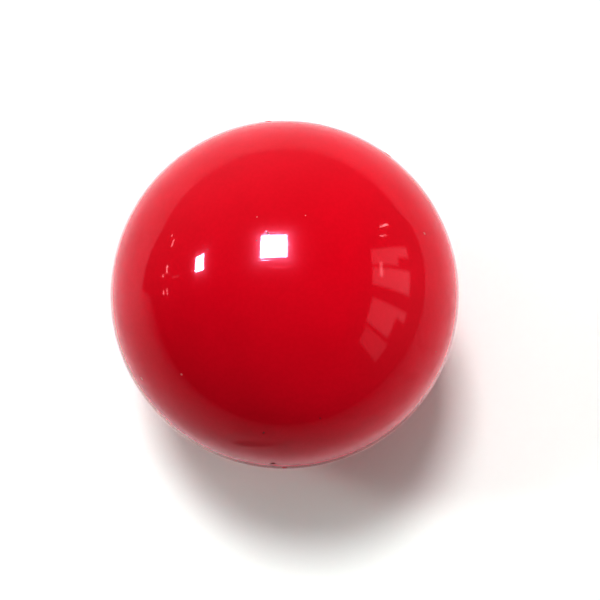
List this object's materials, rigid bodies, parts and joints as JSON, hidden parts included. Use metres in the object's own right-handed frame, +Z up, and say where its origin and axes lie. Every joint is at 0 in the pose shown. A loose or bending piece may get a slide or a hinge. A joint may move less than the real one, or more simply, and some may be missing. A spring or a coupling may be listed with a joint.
{
  "type": "billiard ball",
  "caption": "Plain glossy red billiard ball of snooker size: a solid, polished resin sphere with no number, stripe, seam or joint.",
  "frame": {"origin": "centre of the ball", "axes": "+Z up, away from the table's bed; X and Y are level and equal, because a plain ball has no front"},
  "size_m": [0.0524, 0.0524, 0.0524],
  "materials": {
    "red_resin": "cast resin, the same red all through, turned and polished to a high gloss"
  },
  "bodies": {
    "root": {"ball": "red_resin"}
  },
  "joints": []
}
